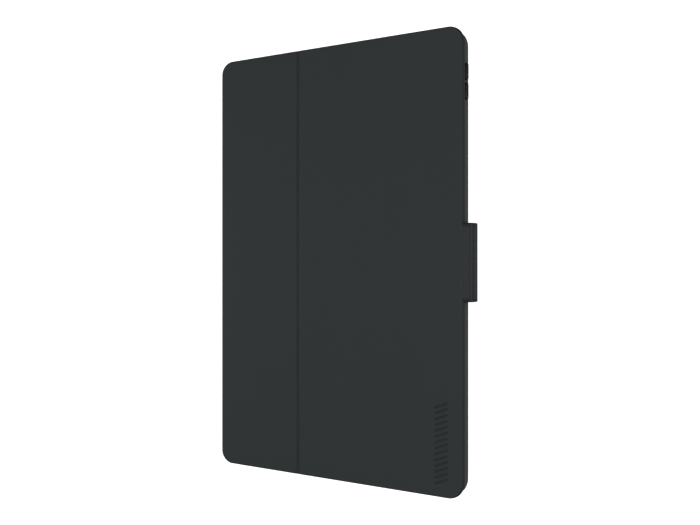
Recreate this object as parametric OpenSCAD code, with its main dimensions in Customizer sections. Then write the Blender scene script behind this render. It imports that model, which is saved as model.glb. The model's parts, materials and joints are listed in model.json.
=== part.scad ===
// Folio case for a 12.9 inch class tablet. A soft bumper is moulded round a hard back plate and
// holds the tablet. A leather-covered front of two boards folds round the spine, creases a third
// of the way across, and is held shut by a magnetic tab that wraps round to the back.
// The case lies closed on its back: +X towards the tab, +Y towards the tablet's top, +Z out of
// the front cover. Every size is in millimetres.

/* [Tablet] */
// Width of the tablet that the case holds
tablet_w = 220.6; // [205:0.1:235]
// Height of the tablet
tablet_h = 305.7; // [290:0.1:320]
// Thickness of the tablet
tablet_t = 6.9; // [6.5:0.1:8]
// Corner radius of the tablet
tablet_r = 9.6; // [9:0.1:13]

/* [Tray] */
// Room left round the tablet
fit_gap = 0.25; // [0.1:0.05:0.5]
// Thickness of the bumper's side wall
wall_t = 2.0; // [1.8:0.1:2.6]
// Thickness of the hard back plate
floor_t = 1.9; // [1.8:0.1:2.6]
// Thickness of the lip that holds the tablet's front
lip_t = 1.0; // [0.8:0.1:1.4]
// How far the lip reaches over the tablet
lip_over = 1.6; // [1:0.1:2.5]
// Radius of the bumper's rear outer edge
edge_r = 4.4; // [4:0.1:5.4]

/* [Cover] */
// How far the cover reaches past the tray on its spine side and its tab side
overhang = 2.5; // [2.2:0.1:3.5]
// How far the cover reaches past the tray at its top and its bottom
end_overhang = 1.2; // [0.8:0.1:3]
// Corner radius of the cover
corner_r = 12; // [11:0.5:16]
// Thickness of the leather skin
skin_t = 0.7; // [0.6:0.05:1]
// Thickness of the stiffening boards in the cover
board_t = 1.1; // [0.9:0.1:2]
// Thickness of the inner lining
lining_t = 0.6; // [0.5:0.05:1]
// Air between the closed cover and the bumper's lip
lid_gap = 0.3; // [0.2:0.05:0.6]
// Distance from the cover's spine edge to the middle of the crease
crease_from_spine = 82.1; // [70:0.1:110]
// Width of the crease between the two boards
crease_w = 5.0; // [4:0.5:8]
// Depth of the groove along the crease
crease_sink = 0.35; // [0.2:0.05:0.6]

/* [Spine] */
// Outer radius of the two spine folds
fold_r = 2.0; // [1.6:0.1:2.4]
// Straight length of soft leather on each side of a spine fold
fold_flat = 3.0; // [2:0.5:4]
// Thickness of the stiffening strip inside the spine
strip_t = 0.4; // [0.3:0.05:0.6]

/* [Anchor flap] */
// Width of the leather flap that is glued to the back
anchor_w = 58; // [40:1:90]
// Corner radius of the glued flap
anchor_r = 8; // [4:1:14]
// Thickness of the board in the glued flap
anchor_board_t = 0.75; // [0.5:0.05:1]
// Thickness of the glue film
glue_t = 0.15; // [0.1:0.05:0.2]

/* [Tab] */
// Height of the tab, along the cover's long side
tab_h = 52.0; // [35:0.1:70]
// Length of the tab that leaves the cover in its own plane
tab_root = 4.5; // [3:0.1:7]
// Outer radius of the tab's front fold
tab_front_r = 2.2; // [2:0.1:3]
// Outer radius of the tab's rear fold
tab_rear_r = 4.0; // [3.5:0.1:4.5]
// Lean of the tab's side towards the case, in degrees
tab_lean = 20; // [10:1:25]
// Thickness of the tape inside the tab
tape_t = 0.3; // [0.2:0.05:0.4]
// Length of the tab's flap under the back
flap_l = 31; // [25:1:45]
// Corner radius of the flap's free end
flap_r = 6; // [3:1:12]
// Thickness of the carrier that holds the flap's magnets
carrier_t = 0.95; // [0.8:0.05:1.2]
// Thickness of the flap's lining
flap_lining_t = 0.5; // [0.4:0.05:0.6]
// Depth of the recess in the back that the flap sits in
seat_depth = 0.8; // [0.6:0.05:0.9]

/* [Buttons] */
// Length of a volume pad
volume_l = 11.4; // [9:0.1:11.4]
// Distance between the middles of the two volume pads
volume_pitch = 12.9; // [12.8:0.1:15]
// Distance from the cover's top edge to the middle of the upper volume pad
volume_from_top = 30.0; // [28:0.1:45]
// Length of the power pad
power_l = 12.0; // [9:0.1:14]
// Distance from the middle of the case to the middle of the power pad
power_x = 87; // [70:1:92]
// Height of every pad
pad_h = 3.2; // [2.6:0.1:3.6]
// How far a pad stands out of the bumper
pad_out = 0.9; // [0.5:0.1:1.4]

/* [Openings] */
// Length of the camera window
camera_l = 30; // [20:1:34]
// Height of the camera window
camera_h = 13; // [10:0.5:15]
// Middle of the camera window, across the case
camera_x = 88; // [80:1:90]
// Distance from the tablet's top edge to the middle of the camera window
camera_from_top = 14.3; // [13.5:0.1:18]
// Length of the charging port's opening
port_l = 15; // [12:0.5:18]
// Length of the headphone opening
jack_l = 9; // [7:0.5:12]
// Height of the charging and headphone openings
port_h = 6; // [5:0.1:6.2]
// Middle of the headphone opening, left of the case's middle
jack_x = 88; // [80:1:92]
// Length of each speaker slot
speaker_l = 24; // [18:1:28]
// Height of each speaker slot
speaker_h = 2.8; // [2:0.1:3.4]
// Middle of each speaker slot, to the left and right of the case's middle
speaker_x = 56; // [40:1:64]

/* [Hidden] */
$fn = 48;
over = 1;       // how far a cutter runs past what it cuts
joint_gap = 0.1; // air round a board or lining inside its skin
arc_steps = 8;  // straight pieces in a quarter of a moulded edge

// Colours
leather = "#303435";
suede = "#3a3c3f";
card = "#8c8472";
smoke = "#6c7072";
black = "#17181a";
steel = "#b4b7ba";
film = "#d8d4c8";

// Heights, from the surface that the case lies on
back_z = skin_t + anchor_board_t + glue_t;       // rear face of the tray
tablet_air = 0.2;                                // between the tablet's front and the lip
tray_t = floor_t + tablet_t + tablet_air + lip_t;
pocket_z = back_z + floor_t;
tray_top = back_z + tray_t;
lining_z = tray_top + lid_gap;
board_z = lining_z + lining_t;
skin_z = board_z + board_t;
cover_top = skin_z + skin_t;
mid_z = pocket_z + tablet_t / 2;                 // middle of the tablet's thickness

// Plan sizes
tray_w = tablet_w + 2 * (fit_gap + wall_t);
tray_h = tablet_h + 2 * (fit_gap + wall_t);
tray_r = tablet_r + fit_gap + wall_t;
cover_w = tray_w + 2 * overhang;
cover_h = tray_h + 2 * end_overhang;
tray_top_y = tray_h / 2;
joint_in = edge_r + 0.5;                          // back plate's edge, in from the tray's side
pocket_edge_r = 3.2;                              // rounding inside the bumper's rear edge
lip_edge_r = 0.7;                                 // rounding of the lip's outer edge

// Folds
web_t = skin_t + lining_t;                        // soft leather and lining, with no board
spine_x = -cover_w / 2;
spine_h = cover_h - 2 * corner_r;
front_axis_z = cover_top - fold_r;
panel_start = spine_x + fold_r + fold_flat;
anchor_start = -tray_w / 2 + edge_r;
crease_x = spine_x + crease_from_spine;
crease_a = crease_x - crease_w / 2;
crease_b = crease_x + crease_w / 2;

// Tab: centres of its two folds
tab_t = skin_t + tape_t + lining_t;
front_c = [cover_w / 2 + tab_root, cover_top - tab_front_r];
rear_c = [
    front_c.x - (tab_rear_r - tab_front_r + sin(tab_lean) * (front_c.y - tab_rear_r)) / cos(tab_lean),
    tab_rear_r,
];
flap_t = skin_t + carrier_t + flap_lining_t;
flap_end = rear_c.x - flap_l;
magnet_x = rear_c.x - 0.66 * flap_l;              // middle of both magnets
magnet_y = 11;                                    // each magnet's middle, above or below Y = 0
magnet_size = [6, 18];
carrier_from_fold = 4;                            // soft leather between the carrier and the fold
carrier_in = 0.4;                                 // carrier's edge, in from the flap's
flap_lining_in = 0.2;                             // lining's edge, in from the flap's
tab_reach = tab_root + tab_front_r;               // furthest that the tab stands past the cover

// The origin is under the middle of the whole case, so the cover stands a little to the left
shift_x = -tab_reach / 2;

// ---------- outlines and helpers ----------

function arc(c, r, from, to, n = arc_steps) =
    [for (i = [0:n]) c + r * [cos(from + (to - from) * i / n), sin(from + (to - from) * i / n)]];

function pointing(a) = [cos(a), sin(a)];

// A rectangle with round corners, in plan
module plan(w, h, r) {
    square([w - 2 * r, h], center = true);
    square([w, h - 2 * r], center = true);
    for (x = [-1, 1], y = [-1, 1])
        translate([x * (w / 2 - r), y * (h / 2 - r)])
            circle(r);
}

// The cover's outline, drawn in by a distance
module cover_plan(inset = 0) plan(cover_w - 2 * inset, cover_h - 2 * inset, corner_r - inset);

// Everything between two values of x
module strip(from, to, h = 2 * cover_h) translate([from, -h / 2]) square([to - from, h]);

// A section in X and Z, drawn out along Y
module along_y(length) rotate([90, 0, 0]) linear_extrude(length, center = true) children();

// A flat piece between two heights
module layer(from, to) translate([0, 0, from]) linear_extrude(to - from) children();

// A slot with round ends: length along X, height along Y, depth along Z
module slot(l, h, d) {
    cube([l - h, h, d], center = true);
    for (s = [-1, 1])
        translate([s * (l - h) / 2, 0, 0])
            cylinder(d = h, h = d, center = true);
}

// A bent layer of a fold: a sector of a ring between two radii
module bend(c, outer, inner, from, to)
    polygon(concat(arc(c, outer, from, to), arc(c, inner, to, from)));

// ---------- tray ----------

// Section of the bumper: x is the distance out from the tray's side, y the height above its back
bumper_section = concat(
    [[-joint_in, 0]],
    arc([-edge_r, edge_r], edge_r, -90, 0),
    arc([-lip_edge_r, tray_t - lip_edge_r], lip_edge_r, 0, 90, 3),
    [
        [-(wall_t + fit_gap + lip_over), tray_t],
        [-(wall_t + fit_gap + lip_over), tray_t - lip_t],
        [-wall_t, tray_t - lip_t],
    ],
    arc([-wall_t - pocket_edge_r, floor_t + pocket_edge_r], pocket_edge_r, 0, -90),
    [[-joint_in, floor_t]]
);

module section_at_r() translate([tray_r, 0]) polygon(bumper_section);

module bumper_ring() {
    inner = [tray_w / 2 - tray_r, tray_h / 2 - tray_r];
    for (turn = [0:3]) {
        at = turn % 2 == 0 ? inner : [inner.y, inner.x];
        rotate([0, 0, 90 * turn]) {
            translate([at.x, at.y, 0]) rotate_extrude(angle = 90) section_at_r();
            translate([at.x, 0, 0]) along_y(2 * at.y) section_at_r();
        }
    }
}

volume_up_y = cover_h / 2 - volume_from_top;
volume_down_y = volume_up_y - volume_pitch;
pad_air = 0.3;       // gap round a pad
flange_side = 0.65;  // how far a pad's flange stands out at each side
flange_t = 0.55;
flange_at = 1.05;    // outer face of the flange, in from the tray's side
recess_in = 1.0;     // where the wide inner part of a pad's slot begins

// A cutter across the tray's right wall, at a place along Y
module through_right(y) translate([tray_w / 2, y, mid_z]) rotate([90, 0, 90]) children();

// A cutter across the tray's top wall (end = 1) or bottom wall (end = -1)
module through_end(x, end) translate([x, end * tray_top_y, mid_z]) rotate([90, 0, 0]) children();

// The slot for pads: a narrow mouth with a wider recess behind it. Depth runs along -Z.
module pad_mouth(l) slot(l + 2 * pad_air, pad_h + 2 * pad_air, 8);

module pad_recess(l)
    translate([0, 0, -recess_in - 2])
        slot(l + 2 * (flange_side + pad_air), pad_h + 2 * (flange_side + pad_air), 4);

// The flap's seat: a shallow recess in the back, open at the tray's right side
seat_air = 1.2;
module flap_seat()
    layer(back_z - over, back_z + seat_depth) {
        translate([flap_end - seat_air + flap_r, -tab_h / 2 - seat_air])
            square([tray_w / 2 - flap_end + seat_air, tab_h + 2 * seat_air]);
        translate([flap_end - seat_air, -tab_h / 2 - seat_air + flap_r])
            square([flap_r * 2, tab_h + 2 * seat_air - 2 * flap_r]);
        for (y = [-1, 1])
            translate([flap_end - seat_air + flap_r, y * (tab_h / 2 + seat_air - flap_r)])
                circle(flap_r);
    }

module bumper()
    color(smoke, 0.85)
    difference() {
        translate([0, 0, back_z]) bumper_ring();
        through_right(volume_up_y) pad_mouth(volume_l);
        through_right(volume_down_y) pad_mouth(volume_l);
        through_right((volume_up_y + volume_down_y) / 2) pad_recess(volume_l + volume_pitch);
        through_end(power_x, 1) pad_mouth(power_l);
        through_end(power_x, 1) rotate([180, 0, 0]) pad_recess(power_l);
        through_end(-jack_x, 1) slot(jack_l, port_h, 12);
        through_end(0, -1) slot(port_l, port_h, 12);
        for (x = [-1, 1], end = [-1, 1])
            through_end(x * speaker_x, end) slot(speaker_l, speaker_h, 12);
        flap_seat();
    }

camera_y = tablet_h / 2 - camera_from_top;
camera_ring_t = 0.8;  // how far the ring round the camera window stands out
camera_ring_w = 1.6;
keeper_size = [20, 44];
keeper_t = 0.4;

module back_plate()
    color(smoke, 0.7)
    difference() {
        union() {
            layer(back_z, pocket_z)
                plan(tray_w - 2 * joint_in, tray_h - 2 * joint_in, tray_r - joint_in);
            translate([camera_x, camera_y, back_z])
                slot(camera_l + 2 * camera_ring_w, camera_h + 2 * camera_ring_w, 2 * camera_ring_t);
        }
        translate([camera_x, camera_y, back_z]) slot(camera_l, camera_h, 10);
        flap_seat();
        translate([magnet_x, 0, pocket_z - keeper_t])
            layer(0, 2) square(keeper_size, center = true);
    }

module keeper_plate()
    color(steel)
    translate([magnet_x, 0, pocket_z - keeper_t])
        layer(0, keeper_t) square(keeper_size - 2 * joint_gap * [1, 1], center = true);

// ---------- flap glued to the back ----------

anchor_h = spine_h;
module anchor_plan(inset = 0) {
    r = anchor_r - inset;
    h = anchor_h - 2 * inset;
    right = anchor_start + anchor_w - inset;
    translate([anchor_start, -h / 2]) square([right - r - anchor_start, h]);
    translate([anchor_start, -h / 2 + r]) square([right - anchor_start, h - 2 * r]);
    for (y = [-1, 1])
        translate([right - r, y * (h / 2 - r)]) circle(r);
}

module anchor_skin()
    color(leather)
    difference() {
        layer(0, back_z) anchor_plan();
        layer(skin_t, back_z + over) anchor_plan(skin_t);
        // open towards the spine, where the soft leather carries on
        translate([anchor_start - over, -anchor_h / 2 + skin_t, skin_t])
            cube([2 * over, anchor_h - 2 * skin_t, back_z]);
    }

module anchor_board()
    color(card)
    layer(skin_t, skin_t + anchor_board_t) anchor_plan(skin_t + joint_gap);

module anchor_glue()
    color(film)
    layer(skin_t + anchor_board_t, back_z) anchor_plan(skin_t + joint_gap);

// ---------- spine and its two folds ----------

module rear_fold()
    color(leather)
    along_y(spine_h) {
        bend([spine_x + fold_r, fold_r], fold_r, fold_r - web_t, 180, 270);
        translate([spine_x, fold_r]) square([web_t, fold_flat]);
        translate([spine_x + fold_r, 0]) square([anchor_start - spine_x - fold_r, web_t]);
    }

// Past the ends of the spine it lies flat, and is cut to the cover's round corners
module front_fold()
    color(leather) {
        along_y(spine_h) {
            bend([spine_x + fold_r, front_axis_z], fold_r, fold_r - web_t, 90, 180);
            translate([spine_x, front_axis_z - fold_flat]) square([web_t, fold_flat]);
            translate([spine_x + fold_r, cover_top - web_t]) square([fold_flat, web_t]);
        }
        layer(cover_top - web_t, cover_top)
            difference() {
                intersection() {
                    cover_plan();
                    strip(spine_x, panel_start);
                }
                strip(spine_x - over, panel_start + over, spine_h);
            }
    }

spine_low = fold_r + fold_flat;
spine_high = front_axis_z - fold_flat;
module spine_layer(from, to)
    translate([spine_x + from, -spine_h / 2, spine_low])
        cube([to - from, spine_h, spine_high - spine_low]);

module spine_skin() color(leather) spine_layer(0, skin_t);
module spine_strip() color(card) spine_layer(skin_t, skin_t + strip_t);
module spine_lining() color(suede) spine_layer(skin_t + strip_t, skin_t + strip_t + lining_t);

// ---------- front cover ----------

// The part of the cover between two values of x, drawn in from the cover's edge
module panel_plan(from, to, inset = 0)
    intersection() {
        cover_plan(inset);
        strip(from, to);
    }

// A panel's board or lining: it stops short of the turned edge, of the fold and of the crease
module core(low, high, from, to)
    layer(low, high) panel_plan(from + joint_gap, to - joint_gap, skin_t + joint_gap);

// A panel's skin, turned down round the edge of its board and lining
module panel_skin(from, to)
    difference() {
        layer(lining_z, cover_top) panel_plan(from, to);
        layer(lining_z - over, skin_z) panel_plan(from - over, to + over, skin_t);
    }

module hinge_panel_skin() color(leather) panel_skin(panel_start, crease_a);
module hinge_panel_board() color(card) core(board_z, skin_z, panel_start, crease_a);
module hinge_panel_lining() color(suede) core(lining_z, board_z, panel_start, crease_a);

// Soft strip between the two boards, sunk a little below the skin
module crease_fold()
    color(leather)
    translate([crease_a, -cover_h / 2, cover_top - crease_sink - web_t])
        cube([crease_w, cover_h, web_t]);

// Its skin carries on past the edge as the outside of the tab
module free_panel_skin()
    color(leather) {
        panel_skin(crease_b, cover_w);
        translate([cover_w / 2 - 2 * skin_t, -tab_h / 2, skin_z])
            cube([tab_root + 2 * skin_t, tab_h, skin_t]);
    }

wake_size = [4, 12];
wake_in = 9;        // middle of the wake magnets, in from the cover's tab side
wake_x = cover_w / 2 - wake_in;
wake_ys = [34, 50, 66];
wake_t = 0.9;
module wake_places(grow)
    for (y = wake_ys)
        translate([wake_x, y]) square(wake_size + [grow, grow], center = true);

module free_panel_board()
    color(card)
    difference() {
        core(board_z, skin_z, crease_b, cover_w);
        layer(board_z - over, board_z + wake_t) wake_places(2 * joint_gap);
    }

module wake_magnets() color(steel) layer(board_z, board_z + wake_t) wake_places(0);

module free_panel_lining() color(suede) core(lining_z, board_z, crease_b, cover_w);

// ---------- closing tab ----------

module tab_root_layer(from, to)
    translate([cover_w / 2, -tab_h / 2, cover_top - to])
        cube([tab_root, tab_h, to - from]);

module tab_root_tape() color(film) tab_root_layer(skin_t, skin_t + tape_t);
module tab_root_lining() color(suede) tab_root_layer(skin_t + tape_t, tab_t);

module tab_front_fold()
    color(leather)
    along_y(tab_h) bend(front_c, tab_front_r, tab_front_r - tab_t, -tab_lean, 90);

// A layer of the leaning side, between two depths under its outer face
module tab_side_layer(from, to) {
    out = pointing(-tab_lean);
    along_y(tab_h)
        polygon([
            front_c + (tab_front_r - from) * out,
            front_c + (tab_front_r - to) * out,
            rear_c + (tab_rear_r - to) * out,
            rear_c + (tab_rear_r - from) * out,
        ]);
}

module tab_side_skin() color(leather) tab_side_layer(0, skin_t);
module tab_side_tape() color(film) tab_side_layer(skin_t, skin_t + tape_t);
module tab_side_lining() color(suede) tab_side_layer(skin_t + tape_t, tab_t);

module tab_rear_fold()
    color(leather)
    along_y(tab_h) bend(rear_c, tab_rear_r, tab_rear_r - tab_t, -90, -tab_lean);

module flap_plan(inset = 0) {
    r = flap_r - inset;
    h = tab_h - 2 * inset;
    left = flap_end + inset;
    translate([left + r, -h / 2]) square([rear_c.x - left - r, h]);
    translate([left, -h / 2 + r]) square([2 * r, h - 2 * r]);
    for (y = [-1, 1])
        translate([left + r, y * (h / 2 - r)]) circle(r);
}

module magnet_places(grow)
    for (y = [-1, 1])
        translate([magnet_x, y * magnet_y]) square(magnet_size + [grow, grow], center = true);

module tab_flap_skin() color(leather) layer(0, skin_t) flap_plan();

// The carrier stops short of the fold, so that the leather can bend there
module tab_magnet_carrier()
    color(black)
    difference() {
        layer(skin_t, skin_t + carrier_t)
            intersection() {
                flap_plan(carrier_in);
                strip(flap_end, rear_c.x - carrier_from_fold);
            }
        layer(skin_t - over, skin_t + carrier_t + over) magnet_places(2 * joint_gap);
    }

module tab_magnets() color(steel) layer(skin_t, skin_t + carrier_t) magnet_places(0);

module tab_flap_lining() color(suede) layer(skin_t + carrier_t, flap_t) flap_plan(flap_lining_in);

// ---------- button pads ----------

// A pad: its stem crosses the wall, and its flange keeps it in. Outwards is +Z.
module pad(l) {
    inner = -flange_at - flange_t;
    translate([0, 0, (pad_out + inner) / 2]) slot(l, pad_h, pad_out - inner);
    translate([0, 0, inner + flange_t / 2])
        slot(l + 2 * flange_side, pad_h + 2 * flange_side, flange_t);
}

module volume_up_button() color(black) through_right(volume_up_y) pad(volume_l);
module volume_down_button() color(black) through_right(volume_down_y) pad(volume_l);
module power_button() color(black) through_end(power_x, 1) rotate([180, 0, 0]) pad(power_l);

// ---------- the case ----------

translate([shift_x, 0, 0]) {
    bumper();
    back_plate();
    keeper_plate();
    anchor_skin();
    anchor_board();
    anchor_glue();
    rear_fold();
    spine_skin();
    spine_strip();
    spine_lining();
    front_fold();
    hinge_panel_skin();
    hinge_panel_board();
    hinge_panel_lining();
    crease_fold();
    free_panel_skin();
    free_panel_board();
    free_panel_lining();
    wake_magnets();
    tab_root_tape();
    tab_root_lining();
    tab_front_fold();
    tab_side_skin();
    tab_side_tape();
    tab_side_lining();
    tab_rear_fold();
    tab_flap_skin();
    tab_magnet_carrier();
    tab_magnets();
    tab_flap_lining();
    volume_up_button();
    volume_down_button();
    power_button();
}
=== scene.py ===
import json
import math

import bmesh
import bpy
import numpy as np
from mathutils import Matrix, Vector


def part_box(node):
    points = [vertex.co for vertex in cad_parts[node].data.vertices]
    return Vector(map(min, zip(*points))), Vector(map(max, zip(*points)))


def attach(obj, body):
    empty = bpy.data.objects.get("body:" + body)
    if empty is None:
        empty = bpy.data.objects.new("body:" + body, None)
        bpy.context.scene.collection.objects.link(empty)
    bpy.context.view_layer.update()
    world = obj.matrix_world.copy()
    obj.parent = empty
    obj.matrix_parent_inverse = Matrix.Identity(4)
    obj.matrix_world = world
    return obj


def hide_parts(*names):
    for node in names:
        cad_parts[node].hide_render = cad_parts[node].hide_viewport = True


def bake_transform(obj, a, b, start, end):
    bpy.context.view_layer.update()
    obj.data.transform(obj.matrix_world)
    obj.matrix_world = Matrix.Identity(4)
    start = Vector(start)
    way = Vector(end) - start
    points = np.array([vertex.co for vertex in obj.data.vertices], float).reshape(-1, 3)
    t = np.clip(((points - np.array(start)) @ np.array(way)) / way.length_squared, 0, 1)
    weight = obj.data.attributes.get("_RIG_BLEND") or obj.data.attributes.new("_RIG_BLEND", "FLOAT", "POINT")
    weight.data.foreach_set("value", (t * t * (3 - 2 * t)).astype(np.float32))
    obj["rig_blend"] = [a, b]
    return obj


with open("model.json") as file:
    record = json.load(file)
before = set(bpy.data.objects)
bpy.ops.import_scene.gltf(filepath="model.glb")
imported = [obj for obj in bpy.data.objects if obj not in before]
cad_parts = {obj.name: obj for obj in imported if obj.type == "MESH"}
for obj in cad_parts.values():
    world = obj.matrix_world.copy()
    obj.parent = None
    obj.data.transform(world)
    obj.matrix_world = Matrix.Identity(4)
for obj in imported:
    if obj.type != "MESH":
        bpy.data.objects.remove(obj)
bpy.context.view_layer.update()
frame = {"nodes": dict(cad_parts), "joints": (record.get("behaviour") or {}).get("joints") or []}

# ======================================================================================
# Studio. A white table runs out past the picture, under broad soft lights. It stands low
# enough for the cover to fold open below the tray. The case is seen from above its right side.
# ======================================================================================

MM = 0.001
scene = bpy.context.scene
scene.view_settings.view_transform = "Standard"
scene.view_settings.look = "None"

cover_low, cover_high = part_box("hinge_panel_skin")
COVER_TOP = cover_high.z
COVER_HALF_H = cover_high.y
SPINE_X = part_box("spine_skin")[0].x
COVER_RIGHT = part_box("tab_root_tape")[0].x
cover_middle = Vector(((SPINE_X + COVER_RIGHT) / 2, 0, COVER_TOP))

CAMERA_TURN = math.radians(40.406)
CAMERA_FROM_COVER = Vector((547.11, 0, 621.81)) * MM
camera_data = bpy.data.cameras.new("camera")
camera_data.sensor_width = 36
camera_data.lens = 59.160
camera_data.clip_start = 0.01
camera_data.clip_end = 50
camera = bpy.data.objects.new("camera", camera_data)
scene.collection.objects.link(camera)
camera.location = cover_middle + CAMERA_FROM_COVER
across = Vector((math.cos(CAMERA_TURN), 0, -math.sin(CAMERA_TURN)))
backwards = Vector((math.sin(CAMERA_TURN), 0, math.cos(CAMERA_TURN)))
camera.rotation_mode = "QUATERNION"
camera.rotation_quaternion = Matrix((across, Vector((0, 1, 0)), backwards)).transposed().to_quaternion()
scene.camera = camera


def soft_light(name, place, aim, size, watts):
    """A rectangular light turned to its aim."""
    data = bpy.data.lights.new(name, "AREA")
    data.shape = "RECTANGLE"
    data.size, data.size_y = size
    data.energy = watts
    lamp = bpy.data.objects.new(name, data)
    lamp.location = place
    lamp.rotation_mode = "QUATERNION"
    lamp.rotation_quaternion = (Vector(aim) - Vector(place)).to_track_quat("-Z", "Y")
    scene.collection.objects.link(lamp)
    return lamp


soft_light("overhead", (0.0, 0.0, 1.6), (0, 0, 0), (1.6, 2.2), 9.0)
soft_light("right_fill", (1.6, 0.0, 0.3), (0.1, 0, 0), (0.7, 2.0), 19.0)
soft_light("left_fill", (-1.5, 0.0, 0.4), (-0.1, 0, 0), (0.7, 1.6), 2.4)

world = bpy.data.worlds.new("studio")
scene.world = world
world.use_nodes = True
nodes, links = world.node_tree.nodes, world.node_tree.links
ambient = nodes["Background"]
ambient.inputs["Color"].default_value = (0.97, 0.985, 1, 1)
ambient.inputs["Strength"].default_value = 0.22
backdrop = nodes.new("ShaderNodeBackground")
backdrop.inputs["Color"].default_value = (1, 1, 1, 1)
seen = nodes.new("ShaderNodeLightPath")
either = nodes.new("ShaderNodeMixShader")
links.new(seen.outputs["Is Camera Ray"], either.inputs["Fac"])
links.new(ambient.outputs[0], either.inputs[1])
links.new(backdrop.outputs[0], either.inputs[2])
links.new(either.outputs[0], nodes["World Output"].inputs["Surface"])


def new_material(name):
    """An empty node material. Returns it with its nodes, its links and its Principled shader."""
    made = bpy.data.materials.new(name)
    made.use_nodes = True
    nodes, links = made.node_tree.nodes, made.node_tree.links
    return made, nodes, links, nodes["Principled BSDF"]


def finished(mesh_object, *materials):
    """Gives an object its materials, in place of any that it has."""
    mesh_object.data.materials.clear()
    for made in materials:
        mesh_object.data.materials.append(made)
    return mesh_object


TABLE_DROP = 24 * MM
TABLE_HALF = 8
table_paint, nodes, links, shader = new_material("white_table_paint")
shader.inputs["Base Color"].default_value = (0.93, 0.93, 0.93, 1)
shader.inputs["Roughness"].default_value = 0.9
shader.inputs["Specular IOR Level"].default_value = 0.1
shader.inputs["Emission Color"].default_value = (1, 1, 1, 1)
shader.inputs["Emission Strength"].default_value = 1.0

bm = bmesh.new()
bmesh.ops.create_grid(bm, x_segments=1, y_segments=1, size=TABLE_HALF)
table_mesh = bpy.data.meshes.new("table_top")
bm.to_mesh(table_mesh)
bm.free()
table_top = bpy.data.objects.new("table_top", table_mesh)
scene.collection.objects.link(table_top)
table_top.location.z = -TABLE_DROP
table_top.visible_diffuse = False
table_top.visible_glossy = False
finished(table_top, table_paint)

# ======================================================================================
# Cover leather. One cut of thin, smooth, dark charcoal faux leather runs from the flap on the
# back, round the spine, over the front and out along the closing tab. Its edges are turned
# and hemmed round the boards. It is made flat here, cut where it bends and then folded.
# ======================================================================================

joints = {j["name"]: j for j in frame["joints"]}


def axis_at(joint):
    """Where a fold's axis stands, in X and Z."""
    x, _, z = joints[joint]["pos_m"]
    return Vector((x, z))


REAR_AXIS = axis_at("spine_rear_fold")
FRONT_AXIS = axis_at("spine_front_fold")
TAB_FRONT = axis_at("tab_front_fold")
TAB_REAR = axis_at("tab_rear_fold")
SPINE_R = REAR_AXIS.x - SPINE_X
TAB_FRONT_R = COVER_TOP - TAB_FRONT.y
TAB_REAR_R = TAB_REAR.y
tab_drop = TAB_FRONT - TAB_REAR
TAB_LEAN = math.acos((TAB_REAR_R - TAB_FRONT_R) / tab_drop.length) - math.atan2(tab_drop.y, tab_drop.x)
TAB_SIDE_L = math.sqrt(tab_drop.length ** 2 - (TAB_REAR_R - TAB_FRONT_R) ** 2)
QUARTER = math.pi / 2

# The chains of straights and bends that the outside of the leather follows, away from x = 0
TO_THE_TAB = [
    (TAB_FRONT.x, 0),
    ((QUARTER + TAB_LEAN) * TAB_FRONT_R, TAB_FRONT_R),
    (TAB_SIDE_L, 0),
    ((QUARTER - TAB_LEAN) * TAB_REAR_R, TAB_REAR_R),
    (1, 0),
]
TO_THE_BACK = [
    (-FRONT_AXIS.x, 0),
    (QUARTER * SPINE_R, SPINE_R),
    (FRONT_AXIS.y - REAR_AXIS.y, 0),
    (QUARTER * SPINE_R, SPINE_R),
    (1, 0),
]


def follow(chain, distance):
    """The point and the outward direction at a distance along a chain, in X and Z."""
    point, heading = Vector((0, COVER_TOP)), 0
    for length, radius in chain:
        step = min(length, distance)
        forward = Vector((math.cos(heading), math.sin(heading)))
        outward = Vector((-forward.y, forward.x))
        if radius:
            turn = step / radius
            point = point - radius * outward
            heading -= turn
            forward = Vector((math.cos(heading), math.sin(heading)))
            outward = Vector((-forward.y, forward.x))
            point = point + radius * outward
        else:
            point = point + step * forward
        distance -= step
        if distance <= 0:
            break
    return point, outward


def length_to(chain, steps):
    """How far along a chain its first steps reach."""
    return sum(length for length, _ in chain[:steps])


# Where the leather's stretches meet, measured along it from x = 0: on the front this is x
FRONT_FOLD_S = -length_to(TO_THE_BACK, 1)
SPINE_TOP_S = -length_to(TO_THE_BACK, 2)
SPINE_BOTTOM_S = -length_to(TO_THE_BACK, 3)
REAR_FOLD_S = -length_to(TO_THE_BACK, 4)
TAB_BEND_S = length_to(TO_THE_TAB, 1)
TAB_SIDE_S = length_to(TO_THE_TAB, 2)
TAB_SIDE_END_S = length_to(TO_THE_TAB, 3)
TAB_FLAP_S = length_to(TO_THE_TAB, 4)
anchor_low, anchor_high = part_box("anchor_skin")
flap_low, flap_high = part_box("tab_flap_skin")
ANCHOR_START_S = REAR_FOLD_S - (anchor_low.x - REAR_AXIS.x)
ANCHOR_END_S = REAR_FOLD_S - (anchor_high.x - REAR_AXIS.x)
FLAP_END_S = TAB_FLAP_S + (TAB_REAR.x - flap_low.x)
PANEL_START = cover_low.x
CREASE_A = cover_high.x
CREASE_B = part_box("free_panel_skin")[0].x
CREASE_X = (CREASE_A + CREASE_B) / 2

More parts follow.
